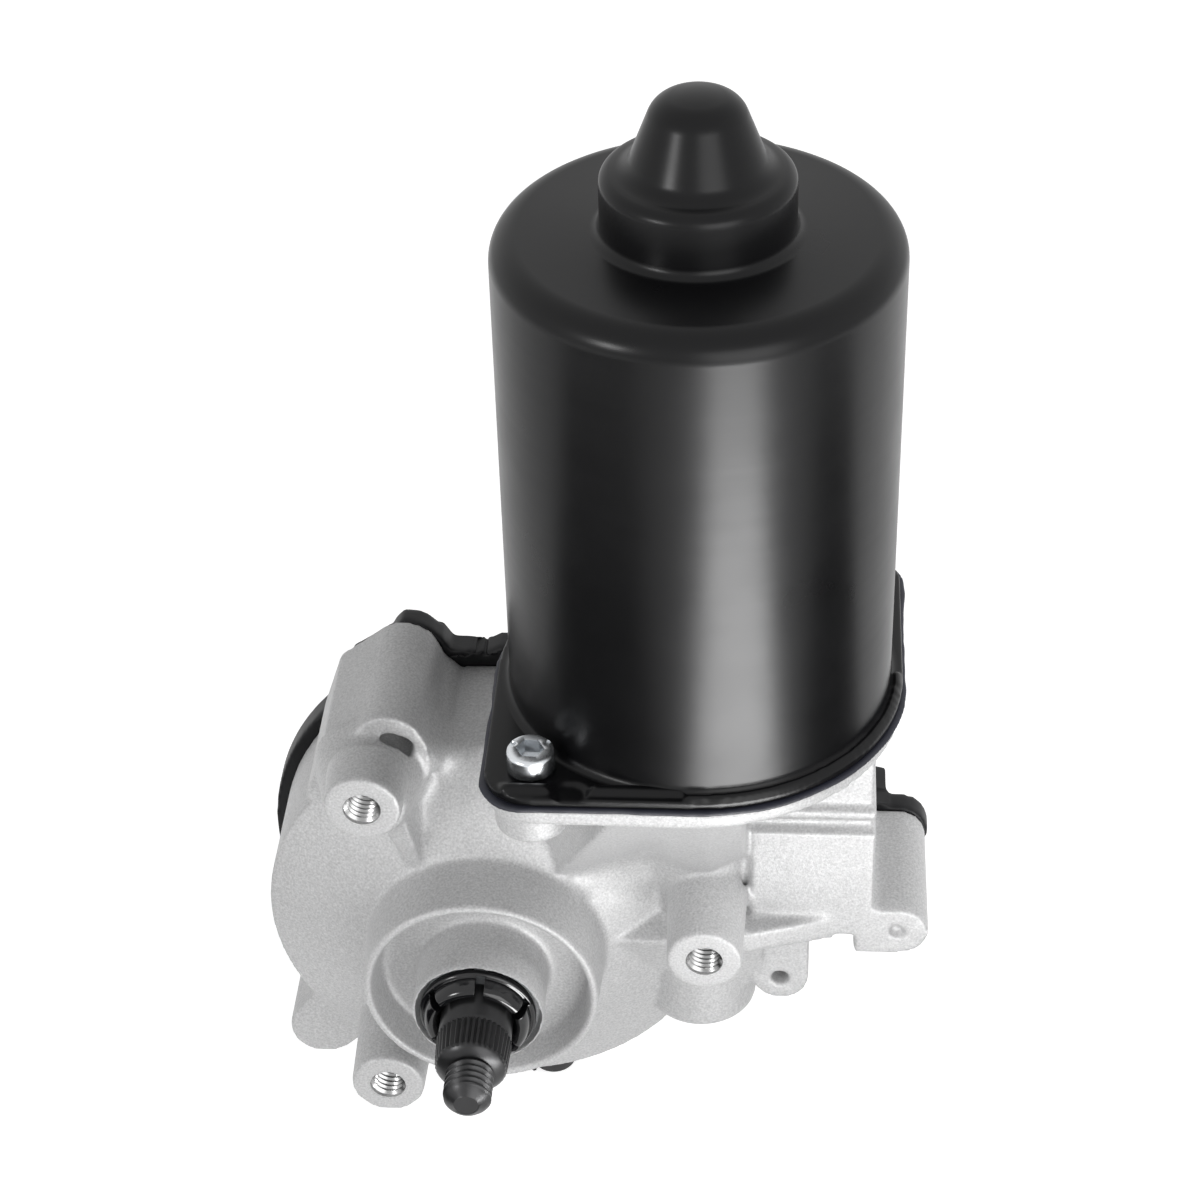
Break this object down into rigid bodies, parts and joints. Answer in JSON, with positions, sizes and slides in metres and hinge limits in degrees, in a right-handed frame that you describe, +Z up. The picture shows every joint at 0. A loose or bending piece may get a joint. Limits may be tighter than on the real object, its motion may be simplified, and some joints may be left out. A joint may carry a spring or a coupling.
{
  "type": "wiper motor",
  "caption": "Windscreen wiper gear motor: black can on a cast worm-gear housing with a threaded, serrated output shaft, tapped mounting bosses and a socket.",
  "frame": {"origin": "centre of the three mounting bosses in the plane of their faces", "axes": "+Z up the motor can, -Y out along the output shaft, +X towards the terminal chamber"},
  "size_m": [0.1148, 0.0831, 0.2163],
  "materials": {
    "cast_aluminium": "blasted die casting",
    "black_painted_steel": "satin gloss black paint",
    "gasket_rubber": "matte",
    "zinc_plated_steel": "bright zinc plate",
    "black_nylon": "satin moulded",
    "black_rubber": "matte",
    "brass_terminal": "tinned brass",
    "ferrite": "ground ceramic magnet",
    "spring_steel": "blued spring strip",
    "sintered_bronze": "oil-filled sintered bronze",
    "bearing_steel": "ground",
    "white_acetal": "moulded",
    "brown_phenolic": "moulded",
    "carbon": "pressed carbon",
    "copper_wire": "enamelled copper",
    "lamination_steel": "stamped laminations",
    "black_phosphate_steel": "oiled black phosphate",
    "gloss_black_clip": "gloss black"
  },
  "bodies": {
    "housing": {"gear_housing": "cast_aluminium", "motor_can": "black_painted_steel", "flange_gasket": "gasket_rubber", "can_screws": "zinc_plated_steel", "gear_cover": "black_nylon", "cover_screws": "zinc_plated_steel", "cover_seal": "gasket_rubber", "breather_tube": "black_rubber", "connector_terminals": "brass_terminal", "field_magnets": "ferrite", "magnet_clips": "spring_steel", "nose_bearing": "sintered_bronze", "nose_bearing_retainer": "spring_steel", "bearing_outer_ring": "bearing_steel", "bearing_balls": "bearing_steel", "worm_bush": "sintered_bronze", "thrust_button": "white_acetal", "front_bush": "sintered_bronze", "rear_bush": "sintered_bronze", "brush_card": "brown_phenolic", "brush_holders": "brass_terminal", "carbon_brushes": "carbon", "brush_springs": "spring_steel", "choke_coils": "copper_wire", "thermal_breaker": "zinc_plated_steel", "noise_capacitor": "black_nylon", "contact_carrier": "black_nylon", "park_contact_fingers": "brass_terminal"},
    "armature": {"armature_shaft": "bearing_steel", "lamination_stack": "lamination_steel", "armature_windings": "copper_wire", "commutator_core": "brown_phenolic", "commutator_segments": "copper_wire", "bearing_inner_ring": "bearing_steel"},
    "output": {"output_shaft": "black_phosphate_steel", "drive_gear": "white_acetal", "drive_plate": "zinc_plated_steel", "wheel_spacer": "zinc_plated_steel", "park_contact_disc": "copper_wire", "retaining_clip": "gloss_black_clip", "thrust_washer": "zinc_plated_steel"}
  },
  "joints": [
    {"name": "armature_spin", "type": "hinge", "parent": "housing", "child": "armature", "pos_m": [0.0346, 0.0235, 0.08], "axis": [0, 0, 1], "continuous": true},
    {"name": "output_spin", "type": "hinge", "parent": "housing", "child": "output", "pos_m": [-0.0012, 0.0235, -0.0097], "axis": [0, 1, 0], "continuous": true}
  ],
  "couplings": [
    {"joint": "output_spin", "follows": "armature_spin", "ratio": 0.016667}
  ]
}
